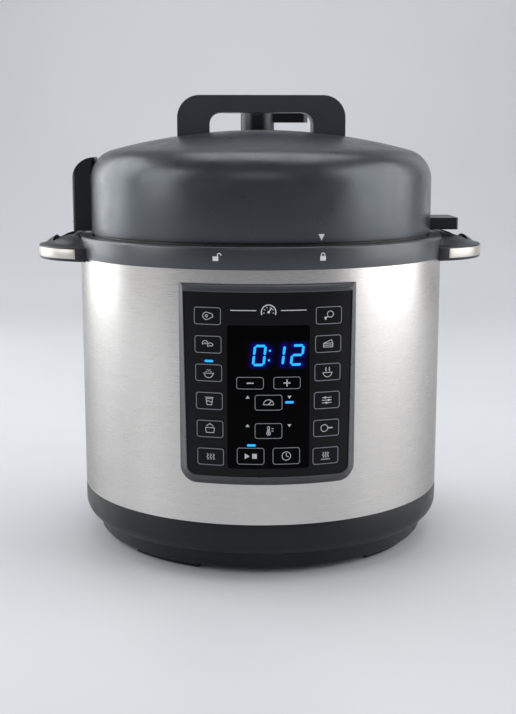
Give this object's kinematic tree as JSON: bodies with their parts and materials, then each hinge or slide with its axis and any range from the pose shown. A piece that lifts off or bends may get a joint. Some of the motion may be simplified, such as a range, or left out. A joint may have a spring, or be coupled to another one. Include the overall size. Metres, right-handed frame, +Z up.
{
  "type": "electric pressure cooker",
  "caption": "Countertop electric pressure cooker: round brushed steel body with a curved key panel, slotted side handles, lift-out pot and a turn-to-lock domed lid.",
  "frame": {"origin": "on the floor, on the axis of the round body", "axes": "+Z up, the key panel faces -Y, +X towards the right handle seen from the front"},
  "size_m": [0.3238, 0.2879, 0.3177],
  "materials": {
    "base_plastic": "fine satin moulded plastic, near black",
    "collar_satin": "satin charcoal, faint brushed lines round the body",
    "foot_rubber": "matte black rubber",
    "wrap_steel": "stainless steel brushed round the body",
    "trim_steel": "pale brushed band",
    "handle_plastic": "satin moulded plastic",
    "bezel": "smooth grey-black plastic with a soft sheen",
    "overlay": "black film with a fine matte texture",
    "window_gloss": "mirror-smooth black",
    "key_cap": "black cap with a pale printed outline",
    "digit_glow": "lit blue segment",
    "print_grey": "pale grey print",
    "circuit_board": "green solder mask",
    "part_black": "moulded component body",
    "lamp_body": "clear blue lamp body",
    "pot_steel": "stainless steel, brushed inside",
    "cast_aluminium": "cast aluminium, turned face",
    "sheet_metal": "pressed sheet",
    "silicone": "translucent white silicone",
    "float_red": "red coated pin",
    "clear_cup": "clear plastic",
    "contact_brass": "nickel and brass contacts",
    "screw_steel": "zinc plated steel"
  },
  "bodies": {
    "housing": {"base_shell": "base_plastic", "base_plate": "base_plastic", "feet": "foot_rubber", "base_screws": "screw_steel", "steel_wrap": "wrap_steel", "collar": "collar_satin", "handle_left": "handle_plastic", "handle_right": "handle_plastic", "handle_trim_left": "trim_steel", "handle_trim_right": "trim_steel", "handle_screws": "screw_steel", "panel_frame": "bezel", "panel_overlay": "overlay", "display_window": "window_gloss", "display_module": "part_black", "control_board": "circuit_board", "indicator_leds": "lamp_body", "power_board": "circuit_board", "outer_pot": "sheet_metal", "heating_plate": "cast_aluminium", "heat_shield": "sheet_metal", "pressure_switch": "part_black", "power_inlet": "part_black", "inlet_pins": "contact_brass", "collector_bracket": "base_plastic", "sensor_spring": "screw_steel"},
    "sensor": {"temperature_sensor": "cast_aluminium"},
    "collector": {"condensation_collector": "clear_cup"},
    "pot": {"cooking_pot": "pot_steel"},
    "seal": {"sealing_gasket": "silicone", "gasket_ring": "sheet_metal"},
    "lid": {"lid_cover": "collar_satin", "lid_handle": "handle_plastic", "lid_fin": "handle_plastic", "lid_tongue": "handle_plastic", "lid_liner": "sheet_metal", "steam_pipe": "sheet_metal", "anti_block_cap": "sheet_metal", "lid_screws": "screw_steel"},
    "float": {"float_valve": "float_red", "float_seal": "silicone"},
    "knob": {"steam_release_knob": "handle_plastic"},
    "key_left_1": {"key_left_1": "key_cap"},
    "key_left_2": {"key_left_2": "key_cap"},
    "key_left_3": {"key_left_3": "key_cap"},
    "key_left_4": {"key_left_4": "key_cap"},
    "key_left_5": {"key_left_5": "key_cap"},
    "key_left_6": {"key_left_6": "key_cap"},
    "key_right_1": {"key_right_1": "key_cap"},
    "key_right_2": {"key_right_2": "key_cap"},
    "key_right_3": {"key_right_3": "key_cap"},
    "key_right_4": {"key_right_4": "key_cap"},
    "key_right_5": {"key_right_5": "key_cap"},
    "key_right_6": {"key_right_6": "key_cap"},
    "key_minus": {"key_minus": "key_cap"},
    "key_plus": {"key_plus": "key_cap"},
    "key_pressure": {"key_pressure": "key_cap"},
    "key_temperature": {"key_temperature": "key_cap"},
    "key_start": {"key_start": "key_cap"},
    "key_timer": {"key_timer": "key_cap"}
  },
  "joints": [
    {"name": "pot_lift", "type": "slide", "parent": "housing", "child": "pot", "axis": [0, 0, 1], "range_m": [0, 0.2]},
    {"name": "lid_lift", "type": "slide", "parent": "pot", "child": "seal", "axis": [0, 0, 1], "range_m": [0, 0.2]},
    {"name": "lid_turn", "type": "hinge", "parent": "seal", "child": "lid", "pos_m": [0, 0, 0.23], "axis": [0, 0, 1], "range_deg": [-30, 0]},
    {"name": "float_rise", "type": "slide", "parent": "lid", "child": "float", "axis": [0, 0, 1], "range_m": [0, 0.005]},
    {"name": "knob_turn", "type": "hinge", "parent": "lid", "child": "knob", "pos_m": [0, 0.068, 0.295], "axis": [0, 0, 1], "range_deg": [0, 60]},
    {"name": "sensor_press", "type": "slide", "parent": "housing", "child": "sensor", "axis": [0, 0, 1], "range_m": [-0.003, 0], "stiffness_N_per_m": 400, "springref_m": 0.002, "deforming": ["sensor_spring"]},
    {"name": "collector_slide", "type": "slide", "parent": "housing", "child": "collector", "axis": [0, 1, 0], "range_m": [0, 0.06]},
    {"name": "key_left_1_press", "type": "slide", "parent": "housing", "child": "key_left_1", "axis": [0, 1, 0], "range_m": [0, 0.0004], "stiffness_N_per_m": 600},
    {"name": "key_left_2_press", "type": "slide", "parent": "housing", "child": "key_left_2", "axis": [0, 1, 0], "range_m": [0, 0.0004], "stiffness_N_per_m": 600},
    {"name": "key_left_3_press", "type": "slide", "parent": "housing", "child": "key_left_3", "axis": [0, 1, 0], "range_m": [0, 0.0004], "stiffness_N_per_m": 600},
    {"name": "key_left_4_press", "type": "slide", "parent": "housing", "child": "key_left_4", "axis": [0, 1, 0], "range_m": [0, 0.0004], "stiffness_N_per_m": 600},
    {"name": "key_left_5_press", "type": "slide", "parent": "housing", "child": "key_left_5", "axis": [0, 1, 0], "range_m": [0, 0.0004], "stiffness_N_per_m": 600},
    {"name": "key_left_6_press", "type": "slide", "parent": "housing", "child": "key_left_6", "axis": [0, 1, 0], "range_m": [0, 0.0004], "stiffness_N_per_m": 600},
    {"name": "key_right_1_press", "type": "slide", "parent": "housing", "child": "key_right_1", "axis": [0, 1, 0], "range_m": [0, 0.0004], "stiffness_N_per_m": 600},
    {"name": "key_right_2_press", "type": "slide", "parent": "housing", "child": "key_right_2", "axis": [0, 1, 0], "range_m": [0, 0.0004], "stiffness_N_per_m": 600},
    {"name": "key_right_3_press", "type": "slide", "parent": "housing", "child": "key_right_3", "axis": [0, 1, 0], "range_m": [0, 0.0004], "stiffness_N_per_m": 600},
    {"name": "key_right_4_press", "type": "slide", "parent": "housing", "child": "key_right_4", "axis": [0, 1, 0], "range_m": [0, 0.0004], "stiffness_N_per_m": 600},
    {"name": "key_right_5_press", "type": "slide", "parent": "housing", "child": "key_right_5", "axis": [0, 1, 0], "range_m": [0, 0.0004], "stiffness_N_per_m": 600},
    {"name": "key_right_6_press", "type": "slide", "parent": "housing", "child": "key_right_6", "axis": [0, 1, 0], "range_m": [0, 0.0004], "stiffness_N_per_m": 600},
    {"name": "key_minus_press", "type": "slide", "parent": "housing", "child": "key_minus", "axis": [0, 1, 0], "range_m": [0, 0.0004], "stiffness_N_per_m": 600},
    {"name": "key_plus_press", "type": "slide", "parent": "housing", "child": "key_plus", "axis": [0, 1, 0], "range_m": [0, 0.0004], "stiffness_N_per_m": 600},
    {"name": "key_pressure_press", "type": "slide", "parent": "housing", "child": "key_pressure", "axis": [0, 1, 0], "range_m": [0, 0.0004], "stiffness_N_per_m": 600},
    {"name": "key_temperature_press", "type": "slide", "parent": "housing", "child": "key_temperature", "axis": [0, 1, 0], "range_m": [0, 0.0004], "stiffness_N_per_m": 600},
    {"name": "key_start_press", "type": "slide", "parent": "housing", "child": "key_start", "axis": [0, 1, 0], "range_m": [0, 0.0004], "stiffness_N_per_m": 600},
    {"name": "key_timer_press", "type": "slide", "parent": "housing", "child": "key_timer", "axis": [0, 1, 0], "range_m": [0, 0.0004], "stiffness_N_per_m": 600}
  ]
}
